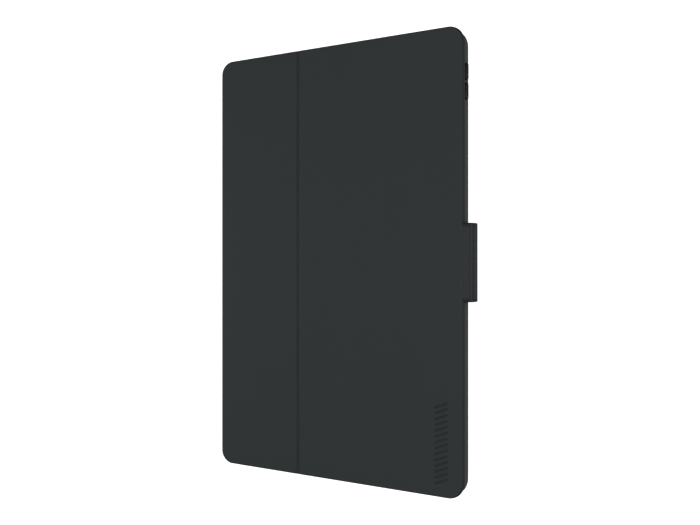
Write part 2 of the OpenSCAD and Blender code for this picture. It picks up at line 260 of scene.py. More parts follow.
# How thick the finished cover is along its length, with the boards and linings inside it
COVER_T = COVER_TOP - cover_low.z
SKIN_T = flap_high.z
WEB_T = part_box("crease_fold")[1].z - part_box("crease_fold")[0].z
SPINE_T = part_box("spine_lining")[1].x - SPINE_X
ANCHOR_T = anchor_high.z
FLAP_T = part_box("tab_flap_lining")[1].z
TAB_T = COVER_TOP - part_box("tab_root_lining")[0].z
EASE = 1.2 * MM          # over this length the cover thins out towards a soft fold
SPINE_EASE = 3.2 * MM
FLAP_EASE = 4 * MM
THICKNESS = [
    (ANCHOR_START_S - EASE, ANCHOR_T), (ANCHOR_START_S, WEB_T),
    (SPINE_BOTTOM_S - 2 * EASE, WEB_T), (SPINE_BOTTOM_S + SPINE_EASE, SPINE_T),
    (SPINE_TOP_S - SPINE_EASE, SPINE_T), (SPINE_TOP_S, WEB_T),
    (PANEL_START - EASE, WEB_T), (PANEL_START, COVER_T),
    (CREASE_A, COVER_T), (CREASE_A + EASE, WEB_T), (CREASE_B - EASE, WEB_T), (CREASE_B, COVER_T),
]
TAB_THICKNESS = [(TAB_FLAP_S, TAB_T), (TAB_FLAP_S + FLAP_EASE, FLAP_T)]


def thickness_at(s, stations):
    """The thickness at a distance along the leather, from a list of places and thicknesses."""
    return float(np.interp(s, [at for at, _ in stations], [t for _, t in stations]))


# The crease: a shallow round-bottomed groove where the two boards stop
CREASE_SINK = COVER_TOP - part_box("crease_fold")[1].z


def groove(s):
    """How far the leather sinks into the crease."""
    reach = (s - CREASE_X) / (CREASE_B - CREASE_X)
    if abs(reach) >= 1:
        return 0.0
    return CREASE_SINK * (1 - abs(reach)) ** 2 * (1 + 2 * abs(reach))


def pressed_depth(s, depth, stations):
    """A depth under the outside, where the layers under the skin share what room there is."""
    if depth <= SKIN_T:
        return depth
    room = thickness_at(s, stations) - SKIN_T
    return SKIN_T + (depth - SKIN_T) * room / (COVER_T - SKIN_T)


def into_place(s, y, depth, stations):
    """Takes a point of the flat leather to its place on the closed case."""
    point, outward = follow(TO_THE_TAB, s) if s >= 0 else follow(TO_THE_BACK, -s)
    point = point - outward * (pressed_depth(s, depth, stations) + groove(s))
    side = 1 if s >= 0 else -1
    return Vector((side * point.x, y, point.y))


# Darkening of the leather: in the crease the pressed leather's darker colour together with painted shade in
# the groove; round the tab's front bend painted shade only
CREASE_PRESS_AND_SHADE = 1.7
TAB_BEND_SHADE = 1.4


def press_and_shade(s):
    """How much the leather is darkened: up to 1 in the crease, where it is pressed darker and carries
    painted shade in the groove, and more round the tab's front bend, where it is painted shade over the
    bend.
    """
    if TAB_BEND_S < s < TAB_SIDE_S:
        round_the_bend = (s - TAB_BEND_S) / (TAB_SIDE_S - TAB_BEND_S)
        return TAB_BEND_SHADE * math.sqrt(math.sin(math.pi * round_the_bend))
    return min(1.0, CREASE_PRESS_AND_SHADE * groove(s) / CREASE_SINK)


def folded(shell, stations):
    """A flat shell, folded into place, with its pressing and painted shade kept on its points."""
    pressed = shell.verts.layers.float["pressed"]
    for v in shell.verts:
        v[pressed] = press_and_shade(v.co.x)
        v.co = into_place(v.co.x, v.co.y, -v.co.z, stations)
    return shell


LEAST_CORNER_R = 0.4 * MM


def round_corners(s_from, s_to, half_h, radius, inset, arc_points=14):
    """A rectangle with round corners, drawn in by inset, anticlockwise in S and Y."""
    r = max(radius - inset, LEAST_CORNER_R)
    s_mid, s_half, y_half = (s_from + s_to) / 2, (s_to - s_from) / 2 - inset, half_h - inset
    outline = []
    for quarter, (sx, sy) in enumerate([(1, 1), (-1, 1), (-1, -1), (1, -1)]):
        for i in range(arc_points + 1):
            angle = QUARTER * (quarter + i / arc_points)
            outline.append((
                s_mid + sx * (s_half - r) + r * math.cos(angle),
                sy * (y_half - r) + r * math.sin(angle),
            ))
    return outline


EDGE_R = 0.62 * MM
EDGE_BAND = 3.4 * MM     # width of the edge's section, out to the flat middle of the leather
EDGE_STEPS = 5


def turned_edge(thickness, hem=2.6 * MM, edge_r=EDGE_R, wall=0.75 * MM, hem_t=0.5 * MM,
                under_r=0.3 * MM):
    """The section of a turned edge, as insets and depths, from the outside round to the inside."""
    arc = [i * QUARTER / EDGE_STEPS for i in range(EDGE_STEPS + 1)]
    over_edge = [(edge_r * (1 - math.sin(a)), edge_r * (1 - math.cos(a))) for a in arc]
    under = [(under_r * (1 - math.cos(a)), thickness - under_r * (1 - math.sin(a))) for a in arc]
    inside = [
        (hem, thickness),
        (hem, thickness - hem_t),
        (wall, thickness - hem_t),
        (wall, SKIN_T),
        (EDGE_BAND, SKIN_T),
    ]
    return [(EDGE_BAND, 0)] + over_edge + under + inside


def slab_edge(top, bottom, edge_r=0.12 * MM, inset=0.0):
    """The section of a plain sheet's edge between two depths."""
    return [
        (inset + 3 * edge_r, top), (inset + edge_r, top), (inset, top + edge_r),
        (inset, bottom - edge_r), (inset + edge_r, bottom), (inset + 3 * edge_r, bottom),
    ]


ROUND_OVER = 0.6 * MM    # the part of an edge, across and down, darkened as painted shade
HAIR = 0.01 * MM


def flat_shell(outline, section):
    """A closed flat shell: the outline drawn in ring by ring down the section, S, Y and -depth."""
    shell = bmesh.new()
    rim = shell.verts.layers.float.new("rim")
    shell.verts.layers.float.new("pressed")
    rings = []
    for inset, depth in section:
        ring = [shell.verts.new((s, y, -depth)) for s, y in outline(inset)]
        for v in ring:
            # Points on the outer round-over of an edge are marked for painted shade, a darker colour along
            # the edge
            v[rim] = 1 if HAIR < inset < ROUND_OVER and depth < ROUND_OVER else 0
        rings.append(ring)
    for outer, inner in zip(rings, rings[1:]):
        for i in range(len(outer)):
            j = (i + 1) % len(outer)
            shell.faces.new((outer[i], inner[i], inner[j], outer[j]))
    shell.faces.new(rings[0])
    shell.faces.new(list(reversed(rings[-1])))
    return shell


def cut(shell, at, normal, keep_beyond=True):
    """Cuts a shell at a plane, keeps one side and closes the cut."""
    everything = shell.verts[:] + shell.edges[:] + shell.faces[:]
    bmesh.ops.bisect_plane(
        shell, geom=everything, dist=1e-7, plane_co=at, plane_no=normal,
        clear_inner=keep_beyond, clear_outer=not keep_beyond,
    )
    rims = [e for e in shell.edges if e.is_boundary]
    bmesh.ops.holes_fill(shell, edges=rims)


def score(shell, stations, normal=(1, 0, 0)):
    """Adds lines across a shell, so that it can bend there."""
    for s in stations:
        everything = shell.verts[:] + shell.edges[:] + shell.faces[:]
        bmesh.ops.bisect_plane(
            shell, geom=everything, dist=1e-7, plane_co=Vector(normal) * s, plane_no=normal,
        )


def stretch(outline, section, s_from, s_to, lines=0):
    """The part of a flat shell from s_from to s_to, scored for bending."""
    shell = flat_shell(outline, section)
    if s_from is not None:
        cut(shell, (s_from, 0, 0), (1, 0, 0), True)
    if s_to is not None:
        cut(shell, (s_to, 0, 0), (1, 0, 0), False)
    if lines:
        score(shell, [s_from + (s_to - s_from) * (i + 1) / lines for i in range(lines - 1)])
    return shell


def to_piece(name, *shells):
    """One object of shells that are in place, each with its faces turned outwards."""
    whole = bmesh.new()
    whole.verts.layers.float.new("rim")
    whole.verts.layers.float.new("pressed")
    for shell in shells:
        bmesh.ops.recalc_face_normals(shell, faces=shell.faces[:])
        if shell.calc_volume(signed=True) < 0:
            bmesh.ops.reverse_faces(shell, faces=shell.faces[:])
        part = bpy.data.meshes.new("part")
        shell.to_mesh(part)
        whole.from_mesh(part)
        bpy.data.meshes.remove(part)
        shell.free()
    for face in whole.faces:
        face.smooth = True
    mesh = bpy.data.meshes.new(name)
    whole.to_mesh(mesh)
    whole.free()
    mesh.set_sharp_from_angle(angle=math.radians(35))
    piece = bpy.data.objects.new(name, mesh)
    scene.collection.objects.link(piece)
    return piece


SPINE_HALF_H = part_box("spine_skin")[1].y
COVER_R = COVER_HALF_H - SPINE_HALF_H
ANCHOR_R = 8 * MM
TAB_HALF_H = flap_high.y
FLAP_R = 6 * MM


def cover_outline(inset):
    """The front cover's outline, drawn in by inset."""
    return round_corners(SPINE_X, COVER_RIGHT, COVER_HALF_H, COVER_R, inset)


def spine_outline(inset):
    """The outline of the leather that runs from the front fold to the end of the glued flap."""
    return round_corners(ANCHOR_END_S, -FRONT_AXIS.x, SPINE_HALF_H, ANCHOR_R, inset)


def tab_outline(inset):
    """The closing tab's outline, from the middle of the cover to the end of its flap."""
    return round_corners(0, FLAP_END_S, TAB_HALF_H, FLAP_R, inset)


# How far each fold's softness runs into the straight next to it
TAB_SOFT = 3.3 * MM
FLAP_SOFT = 4.2 * MM
SPINE_SOFT = 3 * MM
TAB_START_S = COVER_RIGHT - EDGE_R
TAB_SIDE_A = TAB_SIDE_S + TAB_SOFT
TAB_SIDE_B = TAB_SIDE_END_S - TAB_SOFT
FLAP_RIGID_S = TAB_FLAP_S + FLAP_SOFT
SPINE_A = SPINE_BOTTOM_S + SPINE_SOFT
SPINE_B = SPINE_TOP_S - SPINE_SOFT

# The leather's two turned edges
edge = turned_edge(COVER_T)
tab_edge = turned_edge(COVER_T, hem=2.2 * MM, edge_r=0.4 * MM, wall=0.6 * MM)


def spine_part(section, s_from, s_to, lines=0):
    """A stretch of the leather on the spine's side, folded into place."""
    return folded(stretch(spine_outline, section, s_from, s_to, lines), THICKNESS)


def cover_part(section, s_from, s_to, lines=0):
    """A stretch of the front cover, in place."""
    return folded(stretch(cover_outline, section, s_from, s_to, lines), THICKNESS)


def tab_part(section, s_from, s_to, lines=0):
    """A stretch of the closing tab, folded into place."""
    return folded(stretch(tab_outline, section, s_from, s_to, lines), TAB_THICKNESS)


EAR_LINE_PITCH = 0.25 * MM
EAR_LINES = 8


def corner_ears(section):
    """The two bits of the cover's round corners that lie beyond the ends of the spine."""
    ears = []
    for side in (1, -1):
        ear = stretch(cover_outline, section, None, FRONT_FOLD_S)
        cut(ear, (0, side * SPINE_HALF_H, 0), (0, side, 0), True)
        score(ear, [SPINE_X + EAR_LINE_PITCH * i for i in range(1, EAR_LINES)])
        ears.append(folded(ear, THICKNESS))
    return ears


to_piece("anchor_leather", spine_part(edge, None, ANCHOR_START_S))
to_piece("rear_fold_leather", spine_part(edge, ANCHOR_START_S, SPINE_A, lines=36))
to_piece("spine_leather", spine_part(edge, SPINE_A, SPINE_B))
to_piece(
    "front_fold_leather",
    spine_part(edge, SPINE_B, FRONT_FOLD_S, lines=24),
    cover_part(edge, FRONT_FOLD_S, PANEL_START, lines=10),
    *corner_ears(edge),
)
to_piece("hinge_panel_leather", cover_part(edge, PANEL_START, CREASE_A))
to_piece("crease_leather", cover_part(edge, CREASE_A, CREASE_B, lines=30))
free_panel_leather = to_piece("free_panel_leather", cover_part(edge, CREASE_B, None))
to_piece("tab_front_leather", tab_part(tab_edge, TAB_START_S, TAB_SIDE_A, lines=36))
to_piece("tab_side_leather", tab_part(tab_edge, TAB_SIDE_A, TAB_SIDE_B))
to_piece("tab_rear_leather", tab_part(tab_edge, TAB_SIDE_B, FLAP_RIGID_S, lines=36))
to_piece("tab_flap_leather", tab_part(tab_edge, FLAP_RIGID_S, None))


def node_group(name, inputs, outputs):
    """An empty shader node group with named sockets, each given as (kind, name, value)."""
    group = bpy.data.node_groups.new(name, "ShaderNodeTree")
    for kind, label, value in inputs:
        socket = group.interface.new_socket(label, in_out="INPUT", socket_type=kind)
        if value is not None:
            socket.default_value = value
    for kind, label in outputs:
        group.interface.new_socket(label, in_out="OUTPUT", socket_type=kind)
    return group, group.nodes.new("NodeGroupInput"), group.nodes.new("NodeGroupOutput")


FLOAT, VECTOR, COLOUR = "NodeSocketFloat", "NodeSocketVector", "NodeSocketColor"


def calculated(nodes, links, operation, *values):
    """A Math node on sockets or numbers. Returns its output."""
    node = nodes.new("ShaderNodeMath")
    node.operation = operation
    for i, value in enumerate(values):
        if isinstance(value, (int, float)):
            node.inputs[i].default_value = value
        else:
            links.new(value, node.inputs[i])
    return node.outputs[0]


# Grain: small soft cells with finer pores between them, as an embossing roller leaves
grain_group, group_in, group_out = node_group(
    "grain",
    [(VECTOR, "Vector", None), (FLOAT, "Cells per metre", 1400.0), (FLOAT, "Pores", 0.3)],
    [(FLOAT, "Height")],
)
nodes, links = grain_group.nodes, grain_group.links
cells = nodes.new("ShaderNodeTexVoronoi")
cells.feature = "SMOOTH_F1"
cells.inputs["Smoothness"].default_value = 0.6
links.new(group_in.outputs["Vector"], cells.inputs["Vector"])
links.new(group_in.outputs["Cells per metre"], cells.inputs["Scale"])
pores = nodes.new("ShaderNodeTexNoise")
pores.inputs["Detail"].default_value = 3
links.new(group_in.outputs["Vector"], pores.inputs["Vector"])
links.new(calculated(nodes, links, "MULTIPLY", group_in.outputs["Cells per metre"], 2.3),
          pores.inputs["Scale"])
valleys = calculated(nodes, links, "MULTIPLY", cells.outputs["Distance"], 1.4)
fine = calculated(nodes, links, "MULTIPLY", pores.outputs["Fac"], group_in.outputs["Pores"])
raised = calculated(nodes, links, "SUBTRACT", 1.0, valleys)
links.new(calculated(nodes, links, "ADD", raised, fine), group_out.inputs["Height"])

# Mottle: the slow, slight unevenness of tone and gloss that any coated or moulded skin has
mottle_group, group_in, group_out = node_group(
    "mottle",
    [(VECTOR, "Vector", None), (FLOAT, "Scale", 40.0), (COLOUR, "Colour", (0.5, 0.5, 0.5, 1)),
     (FLOAT, "Tone", 0.1), (FLOAT, "Roughness", 0.5), (FLOAT, "Gloss change", 0.05)],
    [(COLOUR, "Colour"), (FLOAT, "Roughness")],
)
nodes, links = mottle_group.nodes, mottle_group.links
drift = nodes.new("ShaderNodeTexNoise")
drift.inputs["Detail"].default_value = 4
drift.inputs["Roughness"].default_value = 0.6
links.new(group_in.outputs["Vector"], drift.inputs["Vector"])
links.new(group_in.outputs["Scale"], drift.inputs["Scale"])
swing = calculated(nodes, links, "SUBTRACT", drift.outputs["Fac"], 0.5)
tone = calculated(nodes, links, "MULTIPLY_ADD", swing, group_in.outputs["Tone"], 1.0)
tinted = nodes.new("ShaderNodeVectorMath")
tinted.operation = "SCALE"
links.new(group_in.outputs["Colour"], tinted.inputs[0])
links.new(tone, tinted.inputs["Scale"])
links.new(tinted.outputs[0], group_out.inputs["Colour"])
links.new(calculated(nodes, links, "MULTIPLY_ADD", swing, group_in.outputs["Gloss change"],
                     group_in.outputs["Roughness"]), group_out.inputs["Roughness"])


def with_group(nodes, links, group, vector, **values):
    """Places a group in a material. Underscores in a value's name stand for spaces."""
    node = nodes.new("ShaderNodeGroup")
    node.node_tree = group
    links.new(vector, node.inputs["Vector"])
    for label, value in values.items():
        node.inputs[label.replace("_", " ")].default_value = value
    return node


def object_coordinates(nodes):
    """The Object output of a new Texture Coordinate node."""
    return nodes.new("ShaderNodeTexCoord").outputs["Object"]


def bumped(nodes, links, shader, height, depth, strength=1.0):
    """Feeds a height, times a depth in metres, to a shader's normal."""
    bump = nodes.new("ShaderNodeBump")
    bump.inputs["Distance"].default_value = depth
    bump.inputs["Strength"].default_value = strength
    links.new(height, bump.inputs["Height"])
    links.new(bump.outputs["Normal"], shader.inputs["Normal"])


def mixed_by(nodes, links, attribute, amount, colour, other):
    """Mixes a colour towards another by an attribute of the mesh."""
    where_set = nodes.new("ShaderNodeAttribute")
    where_set.attribute_name = attribute
    mix = nodes.new("ShaderNodeMix")
    mix.data_type = "RGBA"
    mix.clamp_factor = True
    links.new(calculated(nodes, links, "MULTIPLY", where_set.outputs["Fac"], amount),
              mix.inputs["Factor"])
    links.new(colour, mix.inputs["A"])
    mix.inputs["B"].default_value = other
    return mix.outputs["Result"]


faux_leather, nodes, links, shader = new_material("charcoal_faux_leather")
where = object_coordinates(nodes)
tone = with_group(nodes, links, mottle_group, where, Scale=28.0, Colour=(0.0276, 0.0346, 0.0358, 1),
                  Tone=0.16, Roughness=0.56, Gloss_change=0.12)
grain = with_group(nodes, links, grain_group, where, Cells_per_metre=1500.0, Pores=0.35)
# Painted shade: the outer round-over of every leather edge is darkened into a dark line along the edge
painted_edge_shade = mixed_by(nodes, links, "rim", 1.0, tone.outputs["Colour"], (0.004, 0.005, 0.005, 1))
# Pressed leather turns darker in the crease and on the mark's floors; the crease and the tab's front bend
# also get painted shade here
pressed_and_painted_shade = mixed_by(nodes, links, "pressed", 0.62, painted_edge_shade, (0.010, 0.012, 0.012, 1))
links.new(pressed_and_painted_shade, shader.inputs["Base Color"])
links.new(tone.outputs["Roughness"], shader.inputs["Roughness"])
shader.inputs["Specular IOR Level"].default_value = 0.32
bumped(nodes, links, shader, grain.outputs["Height"], 0.035 * MM, 0.7)

leather_pieces = {
    "anchor_leather": ("tray", ["anchor_skin"]),
    "spine_leather": ("spine", ["spine_skin"]),
    "hinge_panel_leather": ("hinge_panel", ["hinge_panel_skin"]),
    "free_panel_leather": ("free_panel", ["free_panel_skin"]),
    "tab_side_leather": ("tab_side", ["tab_side_skin"]),
    "tab_flap_leather": ("tab_flap", ["tab_flap_skin"]),
}


def bend_ends(s_from, s_to, stations):
    return into_place(s_from, 0, 0, stations), into_place(s_to, 0, 0, stations)


# The front fold turns close round its axis, so that it stays clear of the bumper
FRONT_BEND = (
    (FRONT_AXIS.x - 1.15 * MM, 0, FRONT_AXIS.y - 0.7 * MM),
    (FRONT_AXIS.x + 2.05 * MM, 0, FRONT_AXIS.y + 0.7 * MM),
)

# Each soft fold: the bodies that it joins, its ends, and the CAD node that it stands for
FOLDS = {
    "rear_fold": ("tray", "spine", bend_ends(ANCHOR_START_S, SPINE_A, THICKNESS), "rear_fold"),
    "front_fold": ("spine", "hinge_panel", FRONT_BEND, "front_fold"),
    "crease": ("hinge_panel", "free_panel",
               ((CREASE_A, 0, COVER_TOP), (CREASE_B, 0, COVER_TOP)), "crease_fold"),
    "tab_front": ("free_panel", "tab_side",
                  bend_ends(COVER_RIGHT + 0.6 * MM, TAB_SIDE_A, TAB_THICKNESS), "tab_front_fold"),
    "tab_rear": ("tab_side", "tab_flap",
                 bend_ends(TAB_SIDE_B, FLAP_RIGID_S, TAB_THICKNESS), "tab_rear_fold"),
}


def bends_with(piece, fold):
    """Makes a piece bend with one of the soft folds."""
    body_a, body_b, (start, end), node = FOLDS[fold]
    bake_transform(piece, body_a, body_b, start=tuple(start), end=tuple(end))
    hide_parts(node)


for name, (body, stood_for) in leather_pieces.items():
    piece = finished(bpy.data.objects[name], faux_leather)
    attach(piece, body)
    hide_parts(*stood_for)
for fold in FOLDS:
    piece = finished(bpy.data.objects[fold + "_leather"], faux_leather)
    bends_with(piece, fold)

# ======================================================================================
# Lining. Charcoal microfibre, glued inside the turned edges so that it lies flush with the
# hem, over both boards, the folds and the inside of the tab.
# ======================================================================================

LINING_INSET = 2.7 * MM
TAB_LINING_INSET = 2.3 * MM
LINING_FACE = COVER_T - 0.07 * MM
lining_section = slab_edge(COVER_T - 0.55 * MM, LINING_FACE, inset=LINING_INSET)
tab_lining_section = slab_edge(COVER_T - 0.6 * MM, LINING_FACE, inset=TAB_LINING_INSET)
to_piece("rear_fold_lining", spine_part(lining_section, ANCHOR_START_S, SPINE_A, lines=36))
to_piece("spine_inner_lining", spine_part(lining_section, SPINE_A, SPINE_B))
to_piece(
    "front_fold_lining",
    spine_part(lining_section, SPINE_B, FRONT_FOLD_S, lines=24),
    cover_part(lining_section, FRONT_FOLD_S, PANEL_START, lines=10),
)
to_piece("hinge_panel_inner_lining", cover_part(lining_section, PANEL_START, CREASE_A))
to_piece("crease_lining", cover_part(lining_section, CREASE_A, CREASE_B, lines=30))
to_piece("free_panel_inner_lining", cover_part(lining_section, CREASE_B, None))
to_piece("tab_front_lining", tab_part(tab_lining_section, COVER_RIGHT, TAB_SIDE_A, lines=34))
to_piece("tab_side_inner_lining", tab_part(tab_lining_section, TAB_SIDE_A, TAB_SIDE_B))
to_piece("tab_rear_lining", tab_part(tab_lining_section, TAB_SIDE_B, FLAP_RIGID_S, lines=36))
to_piece("tab_flap_inner_lining", tab_part(tab_lining_section, FLAP_RIGID_S, None))

microfibre, nodes, links, shader = new_material("charcoal_microfibre")
where = object_coordinates(nodes)
tone = with_group(nodes, links, mottle_group, where, Scale=90.0, Colour=(0.052, 0.055, 0.058, 1),
                  Tone=0.5, Roughness=0.95, Gloss_change=0.05)
nap = nodes.new("ShaderNodeTexNoise")
nap.inputs["Scale"].default_value = 5200
nap.inputs["Detail"].default_value = 5
nap.inputs["Roughness"].default_value = 0.7
links.new(where, nap.inputs["Vector"])
links.new(tone.outputs["Colour"], shader.inputs["Base Color"])
links.new(tone.outputs["Roughness"], shader.inputs["Roughness"])
shader.inputs["Specular IOR Level"].default_value = 0.15
shader.inputs["Sheen Weight"].default_value = 0.35
shader.inputs["Sheen Roughness"].default_value = 0.5
bumped(nodes, links, shader, nap.outputs["Fac"], 0.12 * MM, 0.8)

for name, body, node in [
    ("spine_inner_lining", "spine", "spine_lining"),
    ("hinge_panel_inner_lining", "hinge_panel", "hinge_panel_lining"),
    ("free_panel_inner_lining", "free_panel", "free_panel_lining"),
    ("tab_side_inner_lining", "tab_side", "tab_side_lining"),
    ("tab_flap_inner_lining", "tab_flap", "tab_flap_lining"),
]:
    piece = finished(bpy.data.objects[name], microfibre)
    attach(piece, body)
    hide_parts(node)
for fold in FOLDS:
    piece = finished(bpy.data.objects[fold + "_lining"], microfibre)
    bends_with(piece, fold)
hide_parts("tab_root_lining")

# ======================================================================================
# Tape. A woven strip between the tab's leather and its lining keeps the tab from
# stretching. It bends with the folds.
# ======================================================================================

TAPE_INSET = 3 * MM
tape_section = slab_edge(SKIN_T + 0.08 * MM, SKIN_T + 0.5 * MM, edge_r=0.05 * MM, inset=TAPE_INSET)
to_piece("tab_front_tape", tab_part(tape_section, COVER_RIGHT, TAB_SIDE_A, lines=34))
to_piece("tab_side_inner_tape", tab_part(tape_section, TAB_SIDE_A, TAB_SIDE_B))

tape_weave, nodes, links, shader = new_material("woven_tape")
where = object_coordinates(nodes)
tone = with_group(nodes, links, mottle_group, where, Scale=300.0, Colour=(0.55, 0.54, 0.5, 1),
                  Tone=0.3, Roughness=0.85, Gloss_change=0.1)
threads = nodes.new("ShaderNodeTexWave")
threads.bands_direction = "Y"
threads.inputs["Scale"].default_value = 500
threads.inputs["Distortion"].default_value = 1.0
links.new(where, threads.inputs["Vector"])
links.new(tone.outputs["Colour"], shader.inputs["Base Color"])
links.new(tone.outputs["Roughness"], shader.inputs["Roughness"])
bumped(nodes, links, shader, threads.outputs["Fac"], 0.1 * MM)

piece = finished(bpy.data.objects["tab_front_tape"], tape_weave)
bends_with(piece, "tab_front")
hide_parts("tab_root_tape")
piece = finished(bpy.data.objects["tab_side_inner_tape"], tape_weave)
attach(piece, "tab_side")
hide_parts("tab_side_tape")

# ======================================================================================
# Pressed mark. A plain column of slanted bars near the cover's lower right corner. A hot die
# sinks them into the leather, which turns a little darker there.
# ======================================================================================

BARS = 14
BAR_PITCH = 3.9 * MM
BAR_L = 11.4 * MM
BAR_W = 1.5 * MM
BAR_SLANT = math.radians(20)
PRESS_DEPTH = 0.25 * MM
MARK_FROM_RIGHT = 17.7 * MM
MARK_Y = -120.4 * MM
mark_centre = Vector((COVER_RIGHT - MARK_FROM_RIGHT, MARK_Y, COVER_TOP))

tree = bpy.data.node_groups.new("pressed_bars", "GeometryNodeTree")
tree.interface.new_socket("Geometry", in_out="INPUT", socket_type="NodeSocketGeometry")
for kind, label in [
    ("NodeSocketInt", "Bars"), (FLOAT, "Pitch"), (FLOAT, "Length"), (FLOAT, "Width"),
    (FLOAT, "Slant"), (FLOAT, "Depth"), (VECTOR, "Centre"), ("NodeSocketMaterial", "Material"),
]:
    tree.interface.new_socket(label, in_out="INPUT", socket_type=kind)
tree.interface.new_socket("Geometry", in_out="OUTPUT", socket_type="NodeSocketGeometry")
nodes, links = tree.nodes, tree.links
inputs = nodes.new("NodeGroupInput").outputs
output = nodes.new("NodeGroupOutput")

# One bar's tool: a blunt cone with its walls drawn in, pulled out into a slot
half_w = calculated(nodes, links, "MULTIPLY", inputs["Width"], 0.5)
tool_top = calculated(nodes, links, "MULTIPLY_ADD", inputs["Depth"], 0.9, half_w)
tool = nodes.new("GeometryNodeMeshCone")
tool.inputs["Vertices"].default_value = 26
links.new(tool_top, tool.inputs["Radius Top"])
links.new(half_w, tool.inputs["Radius Bottom"])
links.new(calculated(nodes, links, "MULTIPLY", inputs["Depth"], 2.0), tool.inputs["Depth"])
where = nodes.new("GeometryNodeInputPosition")
split = nodes.new("ShaderNodeSeparateXYZ")
links.new(where.outputs[0], split.inputs[0])
straight = calculated(nodes, links, "SUBTRACT", inputs["Length"], inputs["Width"])
half_straight = calculated(nodes, links, "MULTIPLY", straight, 0.5)
pull = nodes.new("ShaderNodeCombineXYZ")
links.new(calculated(nodes, links, "MULTIPLY", calculated(nodes, links, "SIGN", split.outputs["X"]),
                     half_straight), pull.inputs["X"])
pulled = nodes.new("GeometryNodeSetPosition")
links.new(tool.outputs["Mesh"], pulled.inputs["Geometry"])
links.new(pull.outputs[0], pulled.inputs["Offset"])

# The column of tools, set to the depth of the press
column = nodes.new("GeometryNodeMeshLine")
links.new(inputs["Bars"], column.inputs["Count"])
pitch = nodes.new("ShaderNodeCombineXYZ")
links.new(inputs["Pitch"], pitch.inputs["Y"])
links.new(pitch.outputs[0], column.inputs["Offset"])
gaps = calculated(nodes, links, "SUBTRACT", inputs["Bars"], 1.0)
half_column = calculated(nodes, links, "MULTIPLY", calculated(nodes, links, "MULTIPLY", gaps,
                                                              inputs["Pitch"]), -0.5)
low_end = nodes.new("ShaderNodeCombineXYZ")
links.new(half_column, low_end.inputs["Y"])
links.new(calculated(nodes, links, "MULTIPLY", inputs["Depth"], -1.0), low_end.inputs["Z"])
first = nodes.new("ShaderNodeVectorMath")
links.new(inputs["Centre"], first.inputs[0])
links.new(low_end.outputs[0], first.inputs[1])
links.new(first.outputs[0], column.inputs["Start Location"])
slant = nodes.new("ShaderNodeCombineXYZ")
links.new(inputs["Slant"], slant.inputs["Z"])
tools = nodes.new("GeometryNodeInstanceOnPoints")
links.new(column.outputs["Mesh"], tools.inputs["Points"])
links.new(pulled.outputs["Geometry"], tools.inputs["Instance"])
links.new(slant.outputs[0], tools.inputs["Rotation"])
real = nodes.new("GeometryNodeRealizeInstances")
links.new(tools.outputs["Instances"], real.inputs["Geometry"])
pressed = nodes.new("GeometryNodeMeshBoolean")
pressed.operation = "DIFFERENCE"
pressed.solver = "EXACT"
links.new(inputs["Geometry"], pressed.inputs["Mesh 1"])
links.new(real.outputs["Geometry"], pressed.inputs["Mesh 2"])
coated = nodes.new("GeometryNodeSetMaterial")
links.new(pressed.outputs["Mesh"], coated.inputs["Geometry"])
links.new(inputs["Material"], coated.inputs["Material"])
links.new(coated.outputs["Geometry"], output.inputs["Geometry"])


def geometry_nodes(piece, tree, **values):
    """Runs a Geometry Nodes tree on a piece and keeps the result as its plain mesh."""
    modifier = piece.modifiers.new(tree.name, "NODES")
    modifier.node_group = tree
    sockets = {i.name: i.identifier for i in tree.interface.items_tree if i.in_out == "INPUT"}
    for label, value in values.items():
        modifier[sockets[label]] = value
    kept_as_mesh(piece)
    piece.data.set_sharp_from_angle(angle=math.radians(35))


def kept_as_mesh(piece):
    """Turns a piece with its modifiers into a plain mesh."""
    bpy.context.view_layer.update()
    evaluated = piece.evaluated_get(bpy.context.evaluated_depsgraph_get())
    mesh = bpy.data.meshes.new_from_object(evaluated)
    piece.modifiers.clear()
    piece.data = mesh
    mesh.name = piece.name


# A line through every bar's middle lets each one be cut out of the edges of two plain faces
panel_top = bmesh.new()
panel_top.from_mesh(free_panel_leather.data)
score(panel_top, [mark_centre.x])
panel_top.to_mesh(free_panel_leather.data)
panel_top.free()
geometry_nodes(free_panel_leather, tree, Bars=BARS, Pitch=BAR_PITCH, Length=BAR_L, Width=BAR_W,
               Slant=BAR_SLANT, Depth=PRESS_DEPTH, Centre=mark_centre, Material=faux_leather)

# The cut leaves both attributes unset on the bars' floors
attributes = free_panel_leather.data.attributes
MARK_HALF_H = 0.55 * BARS * BAR_PITCH
for v, press, rim in zip(free_panel_leather.data.vertices, attributes["pressed"].data,
                         attributes["rim"].data):
    from_centre = v.co - mark_centre
    if abs(from_centre.x) < BAR_L and abs(from_centre.y) < MARK_HALF_H:
        rim.value = 0.0
        press.value = 1.0 if abs(from_centre.z + PRESS_DEPTH) < HAIR else 0.0

# ======================================================================================
# Tray. A hard smoke-grey back plate with a soft bumper moulded round it. The bumper's lip
# reaches over the tablet's edge and holds it in.
# ======================================================================================


def moulded_copy(node, name, edge_r, segments=3):
    """A CAD node's shape as a moulding: one skin with its sharp edges rounded."""
    skin = bmesh.new()
    skin.from_mesh(frame["nodes"][node].data)
    bmesh.ops.remove_doubles(skin, verts=skin.verts[:], dist=0.002 * MM)
    bmesh.ops.dissolve_limit(skin, angle_limit=math.radians(0.5), verts=skin.verts[:],
                             edges=skin.edges[:])
    for face in skin.faces:
        face.smooth = True
    mesh = bpy.data.meshes.new(name)
    skin.to_mesh(mesh)
    skin.free()
    piece = bpy.data.objects.new(name, mesh)
    scene.collection.objects.link(piece)
    rounding = piece.modifiers.new("rounding", "BEVEL")
    rounding.width = edge_r
    rounding.segments = segments
    rounding.limit_method = "ANGLE"
    rounding.angle_limit = math.radians(32)
    rounding.use_clamp_overlap = True
    kept_as_mesh(piece)
    piece.data.set_sharp_from_angle(angle=math.radians(40))
    return piece


